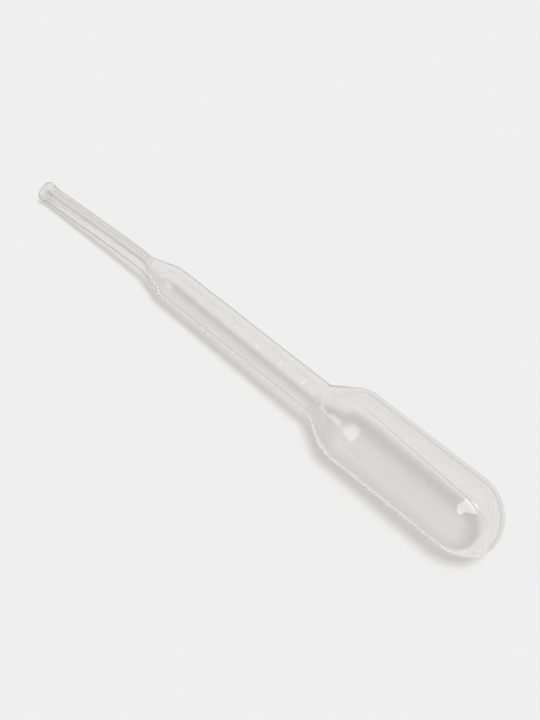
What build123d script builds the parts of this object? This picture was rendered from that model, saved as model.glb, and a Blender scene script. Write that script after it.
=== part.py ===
"""Plastic dropper pipette, blow moulded in one piece from low-density polyethylene.

The pipette is drawn along the X axis, mouth towards -X and bulb towards +X, as one outer
solid and one hollow. It is then laid down as it comes to rest, on the round of its shoulder
and the rim of its mouth. Lengths are in millimetres and angles in degrees.
"""

import os
from math import asin, atan2, cos, degrees, hypot, radians, sin, tan

from build123d import *

# Squeeze bulb, closed by a domed end where the mould pinched the tube shut
bulb_diameter = 12.0
bulb_length = 22.0
bulb_wall = 0.6
dome_height = 6.9
dome_wall = 1.1

# Shoulder between the bulb and the barrel
shoulder_length = 5.3
shoulder_round = 5.0
shoulder_root_round = 0.8

# Barrel
barrel_diameter = 5.65
barrel_length = 32.1
barrel_wall = 0.62

# Rounded cone between the barrel and the tip
cone_length = 4.7
cone_round = 4.0

# Drop tip: a thick tube with a fine bore, a little bent since it left the mould
tip_diameter = 2.95
tip_bore = 0.7
tip_root_length = 1.2
tip_bend_length = 7.0
tip_bend = 2.7
tip_bend_roll = -45.0
tip_straight_length = 13.3

# Mouth, flared where the tip was cut off hot
mouth_diameter = 3.6
mouth_bore = 2.4
mouth_length = 2.2
mouth_edge_round = 0.15


def half_angle(rise, run):
    """Half of the angle by which an outline turns from the axis onto a cone."""
    return atan2(rise, run) / 2


def turned_solid(outline, rounds, dome_rise):
    """Solid of revolution about X: a rounded outline, closed at its +X end by a dome."""
    side = FilletPolyline(*outline, radius=rounds)
    dome_start = side @ 1
    dome = EllipticalCenterArc(
        (dome_start.X, 0), dome_rise, dome_start.Y, start_angle=0, arc_size=90
    )
    back = Line(dome @ 0, (outline[0][0], 0))
    start = Line(back @ 1, side @ 0)
    return revolve(make_face(side + dome + back + start), Axis.X)


def tip_solid(diameter):
    """Round bar along the tip's centre line: straight root, even bend, straight end."""
    section = Plane(origin=(0, 0, 0), z_dir=(-1, 0, 0)) * Circle(diameter / 2)
    return sweep(section, path=tip_path)


def flare_solid(start_diameter, end_diameter):
    """Solid of revolution that widens from the tip's end to the mouth's rim."""
    side = TangentArc(
        (0, start_diameter / 2), (mouth_length, end_diameter / 2), tangent=(1, 0)
    )
    rim = Line(side @ 1, (mouth_length, 0))
    back = Line(rim @ 1, (0, 0))
    start = Line(back @ 1, side @ 0)
    return mouth_plane * revolve(make_face(side + rim + back + start), Axis.X)


# Stations along the axis: the cone leaves the tip at zero
barrel_start = cone_length
barrel_end = barrel_start + barrel_length
bulb_start = barrel_end + shoulder_length
dome_start = bulb_start + bulb_length

bulb_radius = bulb_diameter / 2
barrel_radius = barrel_diameter / 2
tip_radius = tip_diameter / 2
bore_radius = tip_bore / 2
cone_half = half_angle(barrel_radius - tip_radius, cone_length)
shoulder_half = half_angle(bulb_radius - barrel_radius, shoulder_length)

# Centre line of the tip, from the cone's corner to the start of the flare
tip_bend_radius = tip_bend_length / radians(tip_bend)
tip_root = Line((0, 0, 0), (-tip_root_length, 0, 0))
tip_curve = Edge.make_circle(
    tip_bend_radius,
    Plane(origin=(-tip_root_length, 0, -tip_bend_radius), x_dir=(0, 0, 1), z_dir=(0, -1, 0)),
    start_angle=0,
    end_angle=tip_bend,
)
tip_direction = tip_curve % 1
tip_end = tip_curve @ 1 + tip_direction * tip_straight_length
tip_path = Wire([tip_root, tip_curve, Line(tip_curve @ 1, tip_end)])
mouth_plane = Plane(origin=tip_end, x_dir=tip_direction, z_dir=(0, 1, 0))

# Outer form
outer_outline = [
    (-tip_root_length, tip_radius),
    (0, tip_radius),
    (barrel_start, barrel_radius),
    (barrel_end, barrel_radius),
    (bulb_start, bulb_radius),
    (dome_start, bulb_radius),
]
outer_rounds = [cone_round, cone_round, shoulder_root_round, shoulder_round]
outer = turned_solid(outer_outline, outer_rounds, dome_height)
outer += tip_solid(tip_diameter)
outer += flare_solid(tip_diameter, mouth_diameter)

# Hollow, one wall inside the outer form; its corners move along the axis with the wall
barrel_corner_shift = barrel_wall * tan(shoulder_half)
bulb_corner_shift = bulb_wall * tan(shoulder_half)
cone_corner_shift = barrel_wall * tan(cone_half)
hollow_outline = [
    (-tip_root_length, bore_radius),
    (0, bore_radius),
    (barrel_start + cone_corner_shift, barrel_radius - barrel_wall),
    (barrel_end + barrel_corner_shift, barrel_radius - barrel_wall),
    (bulb_start + bulb_corner_shift, bulb_radius - bulb_wall),
    (dome_start, bulb_radius - bulb_wall),
]
hollow_rounds = [
    cone_round / 2,
    cone_round - barrel_wall,
    shoulder_root_round + barrel_wall,
    shoulder_round - bulb_wall,
]
hollow = turned_solid(hollow_outline, hollow_rounds, dome_height - dome_wall)
hollow += tip_solid(tip_bore)
hollow += flare_solid(tip_bore, mouth_bore)

pipette = outer - hollow
rim_edges = pipette.edges().filter_by(GeomType.CIRCLE).sort_by(Axis.X)[:2]
pipette = fillet(rim_edges, mouth_edge_round)

# Rest: the ground touches the round of the shoulder and the lowest point of the mouth's rim
mouth_centre = mouth_plane * Pos(mouth_length, 0, 0)
mouth_drop = -mouth_centre.position.Z * cos(radians(tip_bend_roll))
rim_bottom_x = mouth_centre.position.X
rim_bottom_z = -mouth_drop - mouth_diameter / 2
round_centre_x = bulb_start + shoulder_round * tan(shoulder_half)
round_centre_z = shoulder_round - bulb_radius
reach = round_centre_x - rim_bottom_x
rise = round_centre_z - rim_bottom_z
rest_tilt = degrees(asin(shoulder_round / hypot(reach, rise)) - atan2(rise, reach))

laid_down = Rot(0, -rest_tilt, 0) * Rot(tip_bend_roll, 0, 0) * pipette
box = laid_down.bounding_box()
pipette = Pos(-box.center().X, -box.center().Y, -box.min.Z) * laid_down

os.makedirs("parts", exist_ok=True)
export_step(pipette, "parts/pipette.step")

print(f"rest tilt {rest_tilt:.3f} degrees, length {box.size.X:.2f} mm")
print(f"volume {pipette.volume:.1f} mm3, centre of mass {pipette.center(CenterOf.MASS)}")
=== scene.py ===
# %% [markdown]
# A plastic dropper pipette, the soft throw-away kind from a biology bench.
#
# The real thing is one piece of milky low-density polyethylene. A hot tube of it was blown
# against a cold mould: where the tube filled the mould it became a thin squeeze bulb and a
# barrel, and where the mould pinched it, it stayed a thick tip with a fine bore.
#
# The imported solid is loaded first. It gives the place and the size that the dressed piece keeps.
# A finish could be laid straight on that solid. Here the solid is replaced by a mesh of its own,
# because clear plastic shows its inner wall too, and that wall needs finer shape than a solid has.

# %% Load the frame
from math import asin, atan2, cos, degrees, hypot, pi, radians, sin, sqrt, tan

import bpy
import numpy as np
from mathutils import Matrix, Vector


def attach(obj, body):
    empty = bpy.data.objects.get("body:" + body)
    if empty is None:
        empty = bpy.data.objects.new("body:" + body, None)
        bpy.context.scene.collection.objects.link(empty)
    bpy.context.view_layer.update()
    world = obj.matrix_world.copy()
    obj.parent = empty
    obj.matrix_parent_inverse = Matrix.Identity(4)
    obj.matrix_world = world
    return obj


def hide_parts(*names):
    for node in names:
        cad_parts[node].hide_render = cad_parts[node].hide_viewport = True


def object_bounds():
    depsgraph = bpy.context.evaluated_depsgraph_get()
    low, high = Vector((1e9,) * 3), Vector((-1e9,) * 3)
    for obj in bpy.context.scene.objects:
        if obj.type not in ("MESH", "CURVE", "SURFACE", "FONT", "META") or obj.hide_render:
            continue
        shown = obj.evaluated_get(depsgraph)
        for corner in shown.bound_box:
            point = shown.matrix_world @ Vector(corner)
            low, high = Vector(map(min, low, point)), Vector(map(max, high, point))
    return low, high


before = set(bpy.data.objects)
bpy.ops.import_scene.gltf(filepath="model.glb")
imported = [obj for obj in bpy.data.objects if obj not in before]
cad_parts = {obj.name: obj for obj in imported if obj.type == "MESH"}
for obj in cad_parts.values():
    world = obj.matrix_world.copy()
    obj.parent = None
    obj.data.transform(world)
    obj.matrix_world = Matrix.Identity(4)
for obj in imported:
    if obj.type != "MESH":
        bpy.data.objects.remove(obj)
cad_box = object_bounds()
mm = 0.001

# %% [markdown]
# Sizes. These are the values that drive the solid, in millimetres and degrees, so that the
# dressed piece has the same outline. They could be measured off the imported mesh, but named
# sizes say what each one is, and a change of one moves all that hangs on it.
#
# The last few are the finish's own. Blown plastic is never quite even: the hollow sits a little
# to one side, its shoulder is rounder inside, and the dome leans.

# %% Sizes of the pipette
bulb_diameter, bulb_length, bulb_wall = 12.0, 22.0, 0.6
dome_height, dome_wall = 6.9, 1.1
shoulder_length, shoulder_round, shoulder_root_round = 5.3, 5.0, 0.8
barrel_diameter, barrel_length, barrel_wall = 5.65, 32.1, 0.62
cone_length, cone_round = 4.7, 4.0
tip_diameter, tip_bore = 2.95, 0.7
tip_root_length, tip_bend_length, tip_straight_length = 1.2, 7.0, 13.3
tip_bend, tip_bend_roll = 2.7, -45.0
mouth_diameter, mouth_bore, mouth_length, mouth_edge_round = 3.6, 2.4, 2.2, 0.15

inner_shoulder_round = 6.0
barrel_wall_shift, bulb_wall_shift, dome_lean = 0.19, 0.08, 0.75

barrel_start = cone_length
barrel_end = barrel_start + barrel_length
bulb_start = barrel_end + shoulder_length
dome_start = bulb_start + bulb_length
bulb_radius, barrel_radius = bulb_diameter / 2, barrel_diameter / 2
tip_radius, bore_radius = tip_diameter / 2, tip_bore / 2
cone_half = atan2(barrel_radius - tip_radius, cone_length) / 2
shoulder_half = atan2(bulb_radius - barrel_radius, shoulder_length) / 2
flare_start = -(tip_root_length + tip_bend_length + tip_straight_length)
rim = flare_start - mouth_length
print(f"length along the axis {dome_start + dome_height - rim:.2f} mm")

# %% [markdown]
# The outline. A blown piece has no sharp corners, because the plastic stretches round them.
#
# A lathe outline could be drawn point by point, or with a curve object. Here it is a few
# corners, each with its radius, and a helper that puts the arcs in. Then a change of one
# size moves everything that hangs on it.

# %% An outline with rounded corners
def rounded(corners, radii, step=0.25):
    """Points along a run of corners, at most a step apart, with an arc at each inner one."""
    path = [np.array(corners[0], float)]
    for before, corner, after, radius in zip(corners, corners[1:], corners[2:], radii):
        before, corner, after = (np.array(p, float) for p in (before, corner, after))
        way_in = (corner - before) / np.linalg.norm(corner - before)
        way_out = (after - corner) / np.linalg.norm(after - corner)
        turn = atan2(way_in[0] * way_out[1] - way_in[1] * way_out[0], way_in @ way_out)
        side = np.array([-way_in[1], way_in[0]]) * (1 if turn > 0 else -1)
        start = corner - way_in * radius * tan(abs(turn) / 2)
        centre = start + side * radius
        spoke = start - centre
        count = max(6, int(radius * abs(turn) / step * 1.6))
        for angle in np.linspace(0, turn, count + 1):
            path.append(centre + [spoke[0] * cos(angle) - spoke[1] * sin(angle),
                                  spoke[0] * sin(angle) + spoke[1] * cos(angle)])
    path.append(np.array(corners[-1], float))
    dense = [path[0]]
    for a, b in zip(path, path[1:]):
        parts = max(1, int(np.ceil(np.linalg.norm(b - a) / step)))
        dense += [a + (b - a) * k / parts for k in range(1, parts + 1)]
    return np.array(dense)


# %% The dome and the flare
def dome(rise, radius, count=30):
    """Points on a quarter of an ellipse, from the end of the bulb to the pole of its dome."""
    angles = np.linspace(0, pi / 2, count + 1)[1:]
    return np.column_stack([dome_start + rise * np.sin(angles), radius * np.cos(angles)])


def flare(start_radius, end_radius, count=14):
    """Points on the arc by which the tip widens to its mouth, from the mouth's side."""
    growth = end_radius - start_radius
    arc_radius = (mouth_length**2 + growth**2) / (2 * growth)
    room_for_lip = 2.2 * mouth_edge_round
    along = np.linspace(mouth_length - room_for_lip, 0, count)
    return np.column_stack([flare_start - along,
                            start_radius + arc_radius - np.sqrt(arc_radius**2 - along**2)])


print("points on a dome", len(dome(1, 1)), "on a flare", len(flare(1, 2)))

# %% [markdown]
# The two walls. The outer outline is the solid's. The inner one runs a wall's thickness inside
# it, and each of its corners moves along the axis with the wall.
#
# The barrel has small raised ticks. They could be separate pieces laid on it. Since they were
# cut into the mould, they belong to the skin, so the outline gets extra rings where they stand.

# %% Outlines of the outer and the inner wall
corner_overlap = 0.01
outer_line = rounded(
    [(flare_start + corner_overlap, tip_radius), (0, tip_radius),
     (barrel_start, barrel_radius), (barrel_end, barrel_radius),
     (bulb_start, bulb_radius), (dome_start, bulb_radius)],
    [cone_round, cone_round, shoulder_root_round, shoulder_round])
inner_line = rounded(
    [(flare_start + corner_overlap, bore_radius), (0, bore_radius),
     (barrel_start + barrel_wall * tan(cone_half), barrel_radius - barrel_wall),
     (barrel_end + barrel_wall * tan(shoulder_half), barrel_radius - barrel_wall),
     (bulb_start + bulb_wall * tan(shoulder_half), bulb_radius - bulb_wall),
     (dome_start, bulb_radius - bulb_wall)],
    [cone_round / 2, cone_round - barrel_wall, shoulder_root_round + barrel_wall,
     inner_shoulder_round], step=0.4)
print("rings outside", len(outer_line), "inside", len(inner_line))

# %% Extra rings for the ticks
first_mark, mark_pitch, marks = 19.7, 4.76, 7
ring_offsets = (-0.16, -0.1, -0.05, 0, 0.05, 0.1, 0.16)
ring_gap = 0.05
mark_places = [first_mark + mark_pitch * k for k in range(marks)]
mark_rings = np.array([place + offset for place in mark_places for offset in ring_offsets])
mark_rows = np.column_stack(
    [mark_rings, np.interp(mark_rings, outer_line[:, 0], outer_line[:, 1])])
to_ring = np.abs(outer_line[:, 0][:, None] - mark_rings[None, :]).min(1)
outer_line = np.vstack([outer_line[to_ring >= ring_gap], mark_rows])
outer_line = outer_line[np.argsort(outer_line[:, 0])]
print("ticks", marks, "rings added", len(mark_rings))

# %% [markdown]
# The whole section, from the outer pole round the lip to the inner pole. A skin of one line has
# no seam to close between its walls.

# %% One line round the section
outer_flare = flare(tip_radius, mouth_diameter / 2)
inner_flare = flare(bore_radius, mouth_bore / 2)
lip = rounded([outer_flare[0], (rim, mouth_diameter / 2), (rim, mouth_bore / 2), inner_flare[0]],
              [mouth_edge_round, mouth_edge_round], step=0.08)
skin = np.vstack([
    dome(dome_height, bulb_radius)[::-1], outer_line[::-1], outer_flare[::-1], lip[1:-1],
    inner_flare, inner_line, dome(dome_height - dome_wall, bulb_radius - bulb_wall)])
outside_rings = len(dome(1, 1)) + len(outer_line) + len(outer_flare) + len(lip) // 2
inside = np.arange(len(skin)) >= outside_rings
print("rings in the skin", len(skin), "of them inside", int(inside.sum()))

# %% [markdown]
# The centre line. The tip was still warm when it left the mould, and it cooled a little bent.
#
# A Curve modifier could bend the finished mesh. It is as easy to give each ring its own
# centre and direction while the mesh is made, and then the bend is exactly the solid's.

# %% Where each ring sits
def ring_place(along):
    """Centre of the ring at that distance along the axis, and the axis's direction there."""
    past_root = -tip_root_length - along
    if past_root <= 0:
        return np.array([along, 0, 0]), np.array([1.0, 0, 0])
    bend_radius = tip_bend_length / radians(tip_bend)
    angle = min(past_root / bend_radius, radians(tip_bend))
    straight = max(past_root - tip_bend_length, 0)
    centre = np.array([
        -tip_root_length - bend_radius * sin(angle) - straight * cos(angle),
        0, -bend_radius * (1 - cos(angle)) - straight * sin(angle)])
    return centre, np.array([cos(angle), 0, sin(angle)])


print("mouth is off the axis by", round(-ring_place(rim)[0][2], 3), "mm")

# %% [markdown]
# The rest. Put down on a bench, the pipette touches it with the round of its shoulder and
# with the rim of its mouth, so its axis leans.

# %% The lean at rest
mouth_centre, _ = ring_place(rim)
rim_bottom = mouth_centre[2] * cos(radians(tip_bend_roll)) - mouth_diameter / 2
reach = bulb_start + shoulder_round * tan(shoulder_half) - mouth_centre[0]
rise = shoulder_round - bulb_radius - rim_bottom
rest_tilt = asin(shoulder_round / hypot(reach, rise)) - atan2(rise, reach)
lay_down = (Matrix.Rotation(-rest_tilt, 3, "Y")
            @ Matrix.Rotation(radians(tip_bend_roll), 3, "X"))
print(f"rest tilt {degrees(rest_tilt):.3f} degrees")

# %% [markdown]
# The skin. Outer wall, lip, bore and inner wall are one unbroken surface, like a sock turned
# half inside out. A wall of its true thickness bends light as the real plastic does, which
# a single sheet can't.
#
# Each ring has the same number of points, so that neighbours join in quads, and a fan closes
# each pole. The mould's two halves left a parting line along both sides, a ridge finer than
# a hair. A bump texture could fake it, but the light that it catches is bent by the shape
# itself, so it is real here, and the points lie closer where it runs.

# %% Points round a ring
parting_angle, mark_angle, ridge_height = radians(86.7), radians(98), 0.035
seam_offsets = np.radians([-3, -2.2, -1.5, -0.9, -0.4, 0, 0.4, 0.9, 1.5, 2.2, 3])
even_angles = np.linspace(0, 2 * pi, 112, endpoint=False)
seams = np.concatenate([parting_angle + seam_offsets, parting_angle + pi + seam_offsets])
gap_to_seam = np.abs(np.angle(np.exp(1j * (even_angles[:, None] - seams[None, :])))).min(1)
angles = np.sort(np.concatenate([even_angles[gap_to_seam > radians(1)], seams % (2 * pi)]))
print("points in a ring", len(angles))


# %% Ridge and ticks
twist_per_mm, twist_middle, twist_from, twist_to = radians(0.59), 52.8, -10.7, 20
ridge_width, ridge_least_radius = 0.1, 1.0
mark_width, mark_half_length, mark_end_blur = 0.08, 0.5, 0.05
mark_times_ridge, last_mark_times_ridge = 1.8, 0.6


def twist(along):
    """How far the parting line has turned about the axis there."""
    return twist_per_mm * np.clip(along - twist_middle, twist_from, twist_to)


def relief(along, radius, is_inside):
    """How far each point of a ring stands out of the plain outline, in millimetres."""
    if is_inside:
        return 0 * angles
    off_seam = np.abs(np.angle(np.exp(2j * (angles - parting_angle)))) / 2 * radius
    ridge = np.exp(-((off_seam / ridge_width) ** 2)) * (radius > ridge_least_radius)
    off_mark = np.abs(np.angle(np.exp(1j * (angles + twist(along) - mark_angle)))) * radius
    to_mark = np.abs(along - np.array(mark_places)).min()
    mark = (np.exp(-((to_mark / mark_width) ** 2))
            / (1 + np.exp((off_mark - mark_half_length) / mark_end_blur)))
    times_ridge = mark_times_ridge if along < barrel_end else last_mark_times_ridge
    return ridge_height * (np.maximum(ridge, times_ridge * mark) - 1)


print("ridge", ridge_height, "mm, tick", round(ridge_height * mark_times_ridge, 3), "mm")

# %% [markdown]
# The uneven wall. Plastic cools first where it meets the mould first, so the hollow ends up
# off centre. Each inner ring is moved a little, and the dome's rings lean more and more.

# %% How far a ring sits off the centre line
barrel_shift_from, bulb_shift_from = barrel_start + 2, bulb_start + 4


def ring_offset(along, is_inside):
    """How far a ring's centre is off the centre line, towards the side where the tip bends."""
    wall_shift = np.interp(along, [0, barrel_shift_from, barrel_end, bulb_shift_from],
                           [0, barrel_wall_shift, barrel_wall_shift, bulb_wall_shift])
    lean = dome_lean * max((along - dome_start) / dome_height, 0) ** 2
    return wall_shift * is_inside + lean


print("hollow off centre in the barrel", round(float(ring_offset(barrel_end, True)), 3), "mm")

# %% Place the rings
count = len(angles)
vertices = []
for (along, radius), is_inside in zip(skin[1:-1], inside[1:-1]):
    centre, direction = ring_place(along)
    up = np.array([-direction[2], 0, direction[0]])
    centre = centre - up * ring_offset(along, is_inside)
    reach_out = (radius + relief(along, radius, is_inside))[:, None]
    turned = angles + twist(along) - radians(tip_bend_roll)
    vertices.append(centre + reach_out * (np.cos(turned)[:, None] * [0, 1, 0]
                                          + np.sin(turned)[:, None] * up))
poles = [np.array([along, 0, -ring_offset(along, is_inside)])
         for (along, _), is_inside in ((skin[0], False), (skin[-1], True))]
points = np.vstack(vertices + [poles]) @ np.array(lay_down).T
middle_x = (min(points[:, 0]) + max(points[:, 0])) / 2
shoulder_foot = bulb_start + shoulder_round * tan(shoulder_half)
shift = np.array([
    (cad_box[0].x + cad_box[1].x) / 2 / mm - middle_x,
    0.0,
    shoulder_round - (shoulder_round - bulb_radius) * cos(rest_tilt)
    - shoulder_foot * sin(rest_tilt)])
points = (points + shift) * mm
within_solid = 0.9997
points[:, 0] *= within_solid
print("points", len(points))

# %% Join the rings
rings = len(vertices)
first, last = rings * count, rings * count + 1
faces = []
for i in range(rings - 1):
    a, b = i * count, (i + 1) * count
    for j in range(count):
        k = (j + 1) % count
        faces.append((a + j, b + j, b + k, a + k))
for j in range(count):
    k = (j + 1) % count
    faces.append((first, j, k))
    faces.append((last, (rings - 1) * count + k, (rings - 1) * count + j))
mesh = bpy.data.meshes.new("blown_pipette")
mesh.from_pydata([tuple(p) for p in points], [], faces)
mesh.validate()
mesh.shade_smooth()
blown_pipette = bpy.data.objects.new("blown_pipette", mesh)
bpy.context.scene.collection.objects.link(blown_pipette)
print("triangles", sum(len(f) - 2 for f in faces))

# %% Print its box beside the solid's
low, high = Vector(points.min(0)), Vector(points.max(0))
print("own box", [round(v / mm, 3) for v in (*low, *high)])
print("cad box", [round(v / mm, 3) for v in (*cad_box[0], *cad_box[1])])

# %% [markdown]
# Two notes for the finish. Seen from the side, a clear tube shows its wall as a band along
# each edge. How wide that band is depends on how much of the tube is hollow, and that changes
# along the pipette. The finish could guess it from a place in space. It is surer to write it
# on the points, as a painter marks a workpiece.
#
# hollow_edge says how edge-on the skin is, from 0 to 1, where the hollow's edge lies behind
# it. On the inner wall, which never shows such a band, it is 2, and in the bore up to 3.
# even_wall is 1 on the outer skin but for the tip, and 0 inside.

# %% Write both notes on the points
on_inside, on_bore, at_mouth, widest_hollow = 2.0, 1.0, 0.6, 0.9
mouth_fade, root_fade, at_dome_pole = 1.6, 1.5, 0.564
ring_along, ring_radius, ring_inside = skin[1:-1, 0], skin[1:-1, 1], inside[1:-1]
hollow_share = np.interp(ring_along, inner_line[:, 0], inner_line[:, 1]) / ring_radius
bore_part = on_bore * np.interp(
    ring_along, [flare_start - mouth_fade, flare_start, -corner_overlap, 0], [at_mouth, 1, 1, 0])
outer_edge = 1 - np.sqrt(1 - np.clip(hollow_share, 0, widest_hollow) ** 2)
hollow_edges = np.where(ring_inside, on_inside + bore_part, outer_edge)
even_walls = np.interp(ring_along, [0, root_fade], [0, 1]) * ~ring_inside
for name, values, at_poles in (("hollow_edge", hollow_edges, [at_dome_pole, on_inside]),
                               ("even_wall", even_walls, [1.0, 0.0])):
    note = mesh.attributes.new(name, "FLOAT", "POINT")
    note.data.foreach_set("value", list(np.repeat(values, count)) + at_poles)
    print(name, "from", round(float(values.min()), 3), "to", round(float(values.max()), 3))

# %% [markdown]
# Shader maths. Blender has a Math node for each sum and product. Written out they are long
# to read, so a small class wraps a socket, and ordinary arithmetic on it adds the nodes.

# %% A socket that can be calculated with
class Wire:
    """An output socket of a node tree. Arithmetic on it adds Math nodes."""

    def __init__(self, tree, socket=None):
        self.tree, self.socket = tree, socket

    def node(self, kind, settings=None, output=0, **values):
        """Adds any node: its settings first, then the values or wires of its sockets."""
        node = self.tree.nodes.new("ShaderNode" + kind)
        for name, value in (settings or {}).items():
            setattr(node, name, value)
        for name, value in values.items():
            key = int(name[3:]) if name.startswith("in_") else name.replace("_", " ")
            socket = node.inputs[key]
            if isinstance(value, Wire):
                self.tree.links.new(value.socket, socket)
            else:
                socket.default_value = value
        return Wire(self.tree, node.outputs[output])

    def maths(self, operation, *values):
        """Adds a Math node on these values or wires."""
        return self.node("Math", {"operation": operation},
                         **{f"in_{i}": value for i, value in enumerate(values)})

    def __add__(self, other):
        return self.maths("ADD", self, other)

    def __radd__(self, other):
        return self.maths("ADD", other, self)

    def __sub__(self, other):
        return self.maths("SUBTRACT", self, other)

    def __rsub__(self, other):
        return self.maths("SUBTRACT", other, self)

    def __mul__(self, other):
        return self.maths("MULTIPLY", self, other)

    def __rmul__(self, other):
        return self.maths("MULTIPLY", other, self)


# %% Start and finish a material
def new_material(name):
    """An empty material and a wire to build its nodes from."""
    material = bpy.data.materials.new(name)
    material.use_nodes = True
    material.node_tree.nodes.clear()
    return material, Wire(material.node_tree)


def show(surface):
    """Makes that shader the one that the material shows."""
    output = surface.tree.nodes.new("ShaderNodeOutputMaterial")
    surface.tree.links.new(surface.socket, output.inputs["Surface"])


def step_up(value, start, end):
    """A soft step from 0 to 1 while the value goes from start to end."""
    return value.node("MapRange", {"interpolation_type": "SMOOTHSTEP"}, Value=value,
                      From_Min=start, From_Max=end)


def light_path(wire, name):
    """What a ray is, as 1 or 0, such as Is Camera Ray, or how often it has turned."""
    return wire.node("LightPath", output=name)


print("helpers", [helper.__name__ for helper in (new_material, show, step_up, light_path)])

# %% [markdown]
# The plastic. Low-density polyethylene is clear and milky at once: most light goes through
# the wall, and fine crystals in it scatter the rest.
#
# The milk could be a volume inside the wall, which is slow and grainy in a wall this thin.
# A small share of a matt white on the surface looks the same. Soft clouds, and streaks drawn
# out along the pipette as the plastic was, vary that share.

# %% Clouds and streaks
milky, w = new_material("milky_polyethylene")
place = w.node("TexCoord", output="Object")
drawn = w.node("Mapping", Vector=place, Scale=(60, 900, 900))
cloud = w.node("TexNoise", Vector=place, Scale=260.0, Detail=3.0, Roughness=0.55)
streak = w.node("TexNoise", Vector=drawn, Scale=1.0, Detail=4.0, Roughness=0.6)
skin_bump = w.node("Bump", Strength=0.02, Distance=0.00001, Height=cloud + streak * 0.6)
milk = w.node("BsdfDiffuse", Color=(0.86, 0.85, 0.83, 1), Normal=skin_bump)
print("finish", milky.name)

# %% [markdown]
# Which part of the pipette a spot is on, and how edge-on it is seen. The notes on the points
# give the first. Layer Weight gives the second, as for any glass: 0 face-on, 1 at the rim.

# %% Masks for wall, tip, bore and bulb
edge_on = w.node("LayerWeight", output="Facing", Blend=0.5)
hollow_edge = w.node("Attribute", {"attribute_name": "hollow_edge"}, output="Fac")
even_wall = w.node("Attribute", {"attribute_name": "even_wall"}, output="Fac")
in_tip = step_up(hollow_edge, 0.3, 0.05)
on_bulb = step_up(hollow_edge, 0.42, 0.5)
is_outer = step_up(hollow_edge, 1.6, 1.4)
in_wall = step_up(edge_on, hollow_edge - 0.08, hollow_edge + 0.08)
# Mask for the painted dark reflection in the bore, where the bore is seen face-on.
painted_bore_reflection = step_up(hollow_edge, 2.5, 2.9) * step_up(edge_on, 0.13, 0.03)
print("nodes so far", len(milky.node_tree.nodes))

# %% [markdown]
# Clear plastic with milk in it. The tip's skin is a little rough, which blurs what its thick
# wall shows. In a real wall, light that has bounced many times comes out as a soft glow.
# A renderer stops following it and leaves black, so after a few bounces it ends in milk.

# %% Clear, with haze
tip_roughness = 0.3
clear = w.node(
    "BsdfPrincipled", Base_Color=(0.965, 0.96, 0.953, 1), Roughness=tip_roughness * in_tip,
    IOR=1.51, Transmission_Weight=1.0)
lost = step_up(light_path(w, "Glossy Depth"), 1.0, 3.5)
haze = 0.02 + 0.02 * cloud + 0.01 * streak + 0.08 * in_wall + lost
body = w.node("MixShader", Fac=haze, in_1=clear, in_2=milk)
print("haze adds", len(milky.node_tree.nodes), "nodes in all")

# %% [markdown]
# The wall's band. Where the wall is seen edge-on, light is bent and mirrored so often inside it
# that a render of clear plastic turns to grain. More samples would cure that, at many times
# the cost. Here most of the band on the back half is a plain grey filter that the camera looks
# straight through, with painted shade at the two edges of the wall: darker panes stand in for
# the dark lines that bent light makes there. A look that has gone straight in must also go
# straight out, so the far side and the hollow let it pass.

# %% Grey filter, with painted shade at both edges of the wall
# Painted shade: masks for the dark lines of bent light, at the hollow's edge and at the outer rim.
painted_inner_edge_shade = (step_up(edge_on, hollow_edge - 0.12, hollow_edge - 0.03)
              * step_up(edge_on, hollow_edge + 0.12, hollow_edge + 0.02))
painted_rim_shade = step_up(edge_on, 0.60, 0.80) * (1 - 0.85 * on_bulb)
painted_edge_lines = w.maths("MAXIMUM", 0.45 * (on_bulb * painted_inner_edge_shade), painted_rim_shade)
# The 0.78 pane carries the painted shade of the edge lines. The 0.94 pane is the rest of the band.
pane = {share: w.node("BsdfTransparent", Color=(share, share - 0.003, share - 0.003, 1))
        for share in (1.0, 0.94, 0.78)}
filter_with_painted_edges = w.node("MixShader", Fac=painted_edge_lines, in_1=pane[0.94], in_2=pane[0.78])
filter_with_painted_edges = w.node("MixShader", Fac=is_outer, in_1=pane[1.0], in_2=filter_with_painted_edges)
print("panes let through", sorted(pane))

# %% Look straight through it
faces_back = w.node("SeparateXYZ", Vector=w.node("NewGeometry", output="Normal"), output="Y")
back_half = step_up(faces_back, -0.40, -0.20)
wall_band = step_up(edge_on, hollow_edge - 0.11, hollow_edge) * back_half * even_wall
# The tip's outline takes the same filter, so it gets the painted dark rim too.
tip_band = in_tip * step_up(edge_on, 0.5, 0.7)
gone_in = w.maths("MAXIMUM", 1 - is_outer, w.node("NewGeometry", output="Backfacing"))
straight_share = light_path(w, "Is Camera Ray") * w.maths(
    "MAXIMUM", gone_in, 0.95 * wall_band + tip_band)
body = w.node("MixShader", Fac=straight_share, in_1=body, in_2=filter_with_painted_edges)
print("wall band done,", len(milky.node_tree.nodes), "nodes in all")

# %% [markdown]
# The bore. A fine hole in thick plastic shows as a dark line, because its wall mirrors the dim
# side of the room. The hole is there in the mesh, and it shows part of that line. A dark matt
# share paints the rest on, as a painted reflection of the dim room.

# %% Painted dark reflection in the bore
# Painted reflection: a dark matt grey mixed in where the bore faces the camera.
shade = w.node("BsdfDiffuse", Color=(0.45, 0.44, 0.43, 1))
body = w.node("MixShader", Fac=0.85 * painted_bore_reflection, in_1=body, in_2=shade)
print("bore done,", len(milky.node_tree.nodes), "nodes in all")

# %% [markdown]
# The shadow. Light that crosses a clear thing leaves a soft grey shadow with brighter streaks.
# Tracing those streaks is slow and grainy. A filter that takes a share of the light on its way
# to the bench gives the grey, more of it where the wall is thick.

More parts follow.
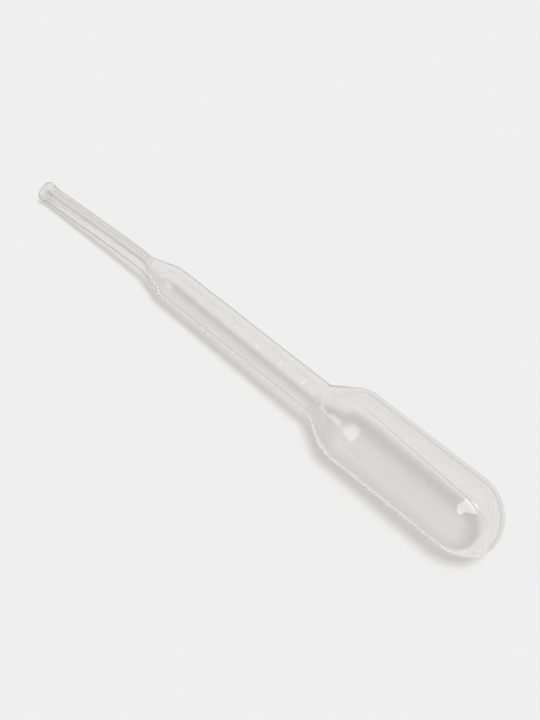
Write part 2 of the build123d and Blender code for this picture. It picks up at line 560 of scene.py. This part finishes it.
# %% Let lamp light through
far_out = step_up(edge_on, 0.85 - 0.67 * hollow_edge, 1.01 - 0.67 * hollow_edge)
blocked = is_outer * (0.05 + 0.19 * step_up(edge_on, 0.0, 0.28) - 0.20 * far_out)
dull = w.node("BsdfDiffuse", Color=(0.35, 0.345, 0.34, 1))
warm_pane = w.node("BsdfTransparent", Color=(1, 0.995, 0.99, 1))
shadow_filter = w.node("MixShader", Fac=blocked, in_1=warm_pane, in_2=dull)
lamp_side = w.maths("MAXIMUM", light_path(w, "Is Shadow Ray"), light_path(w, "Is Diffuse Ray"))
show(w.node("MixShader", Fac=lamp_side, in_1=body, in_2=shadow_filter))
print("plastic done,", len(milky.node_tree.nodes), "nodes in all")

# %% Dress the pipette
blown_pipette.data.materials.append(milky)
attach(blown_pipette, "root")
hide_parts("pipette")
print("dressed", blown_pipette.name)

# %% [markdown]
# The bench: a plain pale sheet, far wider than the view. A curved backdrop would serve a low
# camera. This one looks down, so a flat sheet is all that it sees.

# %% A flat panel from its corners
def flat_panel(name, outline, height, material):
    """A level sheet with those corners, at that height."""
    mesh = bpy.data.meshes.new(name)
    mesh.from_pydata([(x, y, height) for x, y in outline], [], [tuple(range(len(outline)))])
    mesh.materials.append(material)
    sheet = bpy.data.objects.new(name, mesh)
    bpy.context.scene.collection.objects.link(sheet)
    return sheet


def matt(name, shade):
    """A matt grey with no gloss at all."""
    material, w = new_material(name)
    show(w.node("BsdfPrincipled", Base_Color=(shade, shade, shade, 1), Roughness=0.9,
                Specular_IOR_Level=0.0))
    return material


# %% Bench
bench_half, bench_shade = 1.5, 0.863
bench = flat_panel("bench", [(-bench_half, -bench_half), (bench_half, -bench_half),
                             (bench_half, bench_half), (-bench_half, bench_half)],
                   0, matt("bench_white", bench_shade))
print("bench", 2 * bench_half, "m wide")

# %% [markdown]
# The light. A large soft lamp stands almost overhead, and the room adds a quarter of its own.
# Together they come to about 1, so that a colour renders as it is written. A sun lamp with a
# wide disc gives the same soft shadow as a real lamp, at the same strength all over.

# %% Lamp
key_share, room_share = 0.7512, 0.25
sun_way = Vector((0.209, 0.025, 0.976)).normalized()


def aim(thing, place, target):
    """Puts a lamp or camera at a place and turns it towards its target."""
    thing.location = place
    thing.rotation_mode = "QUATERNION"
    thing.rotation_quaternion = (Vector(target) - Vector(place)).to_track_quat("-Z", "Y")


sun_data = bpy.data.lights.new("key", "SUN")
sun_data.angle = radians(16)
sun_data.energy = key_share * pi / sun_way.z
sun_data.color = (1, 1, 1)
sun = bpy.data.objects.new("key", sun_data)
bpy.context.scene.collection.objects.link(sun)
aim(sun, sun_way, (0, 0, 0))
sun.visible_glossy = sun.visible_transmission = sun.visible_camera = False
print("lamp strength", round(sun_data.energy, 4))

# %% [markdown]
# Highlights. The lamp's own mirror image makes the bright spot on the dome, and, seen through
# the bulb, the one at the shoulder. A sun lamp has no shape to mirror, so two glowing panels
# stand in for it. One shows only in mirrored light. The other shows only through the plastic,
# once a look has crossed four surfaces. Neither lights the bench.

# %% A glowing panel
room_glow, panel_height = 0.60, 1.0


def glowing_panel(name, outline, colour, strength, least_crossed, most_crossed):
    """A level panel, bright only to a look that has crossed that many surfaces."""
    glow, w = new_material(name + "_glow")
    bright = w.node("Emission", Color=(*colour, 1), Strength=strength)
    plain = w.node("Emission", Color=(1, 1, 1, 1), Strength=room_glow)
    crossed = light_path(w, "Transmission Depth")
    other = w.maths("MAXIMUM", step_up(crossed, least_crossed - 0.4, least_crossed - 0.6),
                    step_up(crossed, most_crossed + 0.4, most_crossed + 0.6))
    show(w.node("MixShader", Fac=other, in_1=bright, in_2=plain))
    glow.cycles.emission_sampling = "NONE"
    sheet = flat_panel(name, outline, panel_height, glow)
    sheet.visible_camera = sheet.visible_diffuse = sheet.visible_shadow = False
    return sheet


print("panels hang", panel_height, "m up")

# %% Two panels
softbox = glowing_panel(
    "softbox", [(-0.085, -0.30), (0.055, -0.58), (0.915, -0.58), (0.98, 0.45),
                (0.55, 0.52), (0.195, 0.38), (-0.06, 0.0)],
    colour=(1, 1, 1), strength=5.6, least_crossed=0, most_crossed=0)
softbox.visible_transmission = False
window = glowing_panel(
    "softbox_through", [(-0.17, -0.58), (0.76, -0.58), (0.76, 0.32), (-0.17, 0.32)],
    colour=(1, 0.975, 0.94), strength=3.4, least_crossed=4, most_crossed=20)
window.visible_glossy = False
print("panels", softbox.name, window.name)

# %% [markdown]
# The room round the bench. The camera sees the same pale tone as the bench, mirrored and
# bent light sees a dimmer room, and the bench itself gets the room's share of the light.

# %% World
world = bpy.data.worlds.new("room")
bpy.context.scene.world = world
world.use_nodes = True
world.node_tree.nodes.clear()
w = Wire(world.node_tree)
room, mirrored_room, backdrop = (
    w.node("Background", Color=(1, 1, 1, 1), Strength=strength)
    for strength in (room_share, room_glow, bench_shade))
bent = w.maths("MAXIMUM", light_path(w, "Is Glossy Ray"), light_path(w, "Is Transmission Ray"))
surround = w.node("MixShader", Fac=bent, in_1=room, in_2=mirrored_room)
surround = w.node("MixShader", Fac=light_path(w, "Is Camera Ray"), in_1=surround, in_2=backdrop)
world_output = world.node_tree.nodes.new("ShaderNodeOutputWorld")
world.node_tree.links.new(surround.socket, world_output.inputs["Surface"])
print("world nodes", len(world.node_tree.nodes))

# %% [markdown]
# The camera looks down steeply and along the pipette from the bulb's side, so that the long
# thin thing lies across the upright picture, corner to corner.

# %% Camera
elevation, heading, camera_distance = radians(60.0), radians(43.62), 0.25085
cone_corner = Vector((np.array(lay_down) @ ring_place(0)[0] + shift) * mm)
target = Vector((cone_corner.x + 0.02434, cone_corner.y + 0.00225, 0))
look = Vector((-sin(heading) * cos(elevation), cos(heading) * cos(elevation), -sin(elevation)))
camera_data = bpy.data.cameras.new("camera")
camera_data.sensor_width, camera_data.lens, camera_data.clip_start = 36.0, 80.79, 0.01
camera = bpy.data.objects.new("camera", camera_data)
bpy.context.scene.collection.objects.link(camera)
aim(camera, target - look * camera_distance, target)
bpy.context.scene.camera = camera
bpy.context.scene.view_settings.view_transform = "Standard"
print("camera at", [round(v, 4) for v in camera.location], "target", [round(v, 4) for v in target])

# %% [markdown]
# The holder's own dark shape. Whoever stands over a shiny thing is mirrored in it, and takes
# a bite out of the lamp's mirror image on the dome.

# %% Dark plate near the camera
plate_height, plate_shade = 0.217, 0.10
lens_front = flat_panel(
    "lens_front", [(0.1014, -0.0553), (0.2345, 0.045), (0.2447, -0.143), (0.0891, -0.127)],
    plate_height, matt("lens_dark", plate_shade))
lens_front.visible_camera = lens_front.visible_diffuse = False
lens_front.visible_shadow = lens_front.visible_transmission = False
print("dark plate", lens_front.name)
